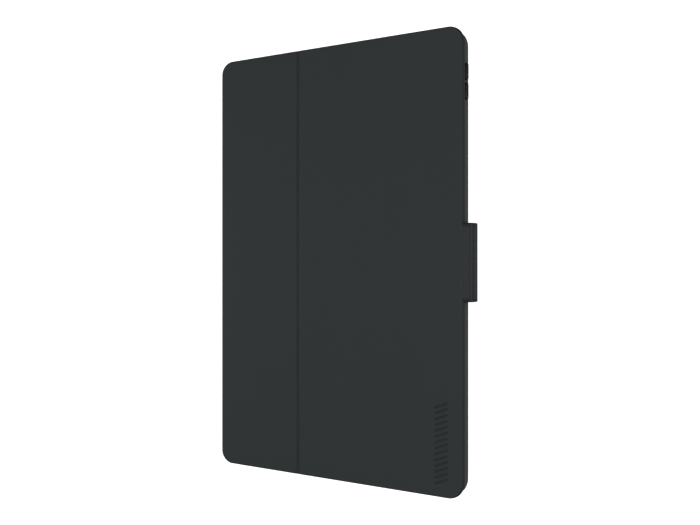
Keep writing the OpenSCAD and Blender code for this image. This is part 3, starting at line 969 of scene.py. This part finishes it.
soft_smoke, nodes, links, shader = new_material("smoke_soft_moulding")
where = object_coordinates(nodes)
tone = with_group(nodes, links, mottle_group, where, Scale=60.0, Colour=(0.060, 0.0645, 0.0635, 1),
                  Tone=0.15, Roughness=0.5, Gloss_change=0.1)
grain = with_group(nodes, links, grain_group, where, Cells_per_metre=5200.0, Pores=0.6)
links.new(tone.outputs["Colour"], shader.inputs["Base Color"])
links.new(tone.outputs["Roughness"], shader.inputs["Roughness"])
shader.inputs["Specular IOR Level"].default_value = 0.4
bumped(nodes, links, shader, grain.outputs["Height"], 0.012 * MM, 0.6)

hard_smoke, nodes, links, shader = new_material("smoke_hard_plate")
where = object_coordinates(nodes)
tone = with_group(nodes, links, mottle_group, where, Scale=35.0, Colour=(0.055, 0.058, 0.06, 1),
                  Tone=0.12, Roughness=0.42, Gloss_change=0.1)
grain = with_group(nodes, links, grain_group, where, Cells_per_metre=3400.0, Pores=0.8)
links.new(tone.outputs["Colour"], shader.inputs["Base Color"])
links.new(tone.outputs["Roughness"], shader.inputs["Roughness"])
bumped(nodes, links, shader, grain.outputs["Height"], 0.015 * MM, 0.7)

bumper = finished(moulded_copy("bumper", "soft_bumper", 0.22 * MM), soft_smoke)
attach(bumper, "tray")
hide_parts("bumper")
back_plate = finished(moulded_copy("back_plate", "hard_back_plate", 0.2 * MM), hard_smoke)
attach(back_plate, "tray")
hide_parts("back_plate")

# ======================================================================================
# Button pads. Black rubber mouldings: each one's stem stands out of its slot in the
# bumper, and its flange keeps it in.
# ======================================================================================

black_rubber, nodes, links, shader = new_material("black_pad_rubber")
where = object_coordinates(nodes)
tone = with_group(nodes, links, mottle_group, where, Scale=200.0, Colour=(0.006, 0.006, 0.0065, 1),
                  Tone=0.2, Roughness=0.2, Gloss_change=0.15)
grain = with_group(nodes, links, grain_group, where, Cells_per_metre=4200.0, Pores=0.5)
links.new(tone.outputs["Colour"], shader.inputs["Base Color"])
links.new(tone.outputs["Roughness"], shader.inputs["Roughness"])
shader.inputs["Specular IOR Level"].default_value = 0.4
bumped(nodes, links, shader, grain.outputs["Height"], 0.012 * MM, 0.6)

for node in ("volume_up_button", "volume_down_button", "power_button"):
    pad = finished(moulded_copy(node, node + "_pad", 0.42 * MM, 4), black_rubber)
    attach(pad, node)
    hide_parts(node)

# ======================================================================================
# Pieces sealed inside. Grey board stiffens the panels and the glued flap, a plastic strip
# stiffens the spine, and plated magnets sit in the tab's carrier and in the cover's board.
# A steel plate in the tray's floor holds the tab's magnets.
# ======================================================================================

grey_board, nodes, links, shader = new_material("grey_board")
where = object_coordinates(nodes)
tone = with_group(nodes, links, mottle_group, where, Scale=500.0, Colour=(0.27, 0.24, 0.19, 1),
                  Tone=0.5, Roughness=0.9, Gloss_change=0.05)
fibres = nodes.new("ShaderNodeTexNoise")
fibres.inputs["Scale"].default_value = 1800
fibres.inputs["Detail"].default_value = 6
links.new(where, fibres.inputs["Vector"])
links.new(tone.outputs["Colour"], shader.inputs["Base Color"])
links.new(tone.outputs["Roughness"], shader.inputs["Roughness"])
bumped(nodes, links, shader, fibres.outputs["Fac"], 0.05 * MM)


def plain_moulding(name, colour, roughness, metallic=0.0, grain_cells=3000.0):
    """A simple material for a hidden plastic or metal piece."""
    made, nodes, links, shader = new_material(name)
    where = object_coordinates(nodes)
    tone = with_group(nodes, links, mottle_group, where, Scale=150.0, Colour=colour,
                      Tone=0.15, Roughness=roughness, Gloss_change=0.1)
    grain = with_group(nodes, links, grain_group, where, Cells_per_metre=grain_cells, Pores=0.5)
    links.new(tone.outputs["Colour"], shader.inputs["Base Color"])
    links.new(tone.outputs["Roughness"], shader.inputs["Roughness"])
    shader.inputs["Metallic"].default_value = metallic
    bumped(nodes, links, shader, grain.outputs["Height"], 0.01 * MM, 0.5)
    return made


white_strip = plain_moulding("spine_strip_plastic", (0.5, 0.5, 0.48, 1), 0.6)
glue_film = plain_moulding("glue_film", (0.72, 0.7, 0.6, 1), 0.35)
carrier_plastic = plain_moulding("magnet_carrier_plastic", (0.02, 0.02, 0.022, 1), 0.6)
nickel = plain_moulding("magnet_nickel", (0.62, 0.62, 0.6, 1), 0.22, metallic=1.0)

brushed_steel, nodes, links, shader = new_material("brushed_keeper_steel")
where = object_coordinates(nodes)
tone = with_group(nodes, links, mottle_group, where, Scale=70.0, Colour=(0.5, 0.51, 0.52, 1),
                  Tone=0.1, Roughness=0.33, Gloss_change=0.12)
lengthwise = nodes.new("ShaderNodeMapping")
lengthwise.inputs["Scale"].default_value = (6000, 90, 6000)
links.new(where, lengthwise.inputs["Vector"])
scratches = nodes.new("ShaderNodeTexNoise")
scratches.inputs["Scale"].default_value = 1
scratches.inputs["Detail"].default_value = 2
links.new(lengthwise.outputs[0], scratches.inputs["Vector"])
links.new(tone.outputs["Colour"], shader.inputs["Base Color"])
links.new(tone.outputs["Roughness"], shader.inputs["Roughness"])
shader.inputs["Metallic"].default_value = 1.0
bumped(nodes, links, shader, scratches.outputs["Fac"], 0.02 * MM, 0.5)

for node, made in {
    "anchor_board": grey_board, "hinge_panel_board": grey_board, "free_panel_board": grey_board,
    "anchor_glue": glue_film, "spine_strip": white_strip,
    "tab_magnet_carrier": carrier_plastic, "tab_magnets": nickel, "wake_magnets": nickel,
    "keeper_plate": brushed_steel,
}.items():
    finished(frame["nodes"][node], made)
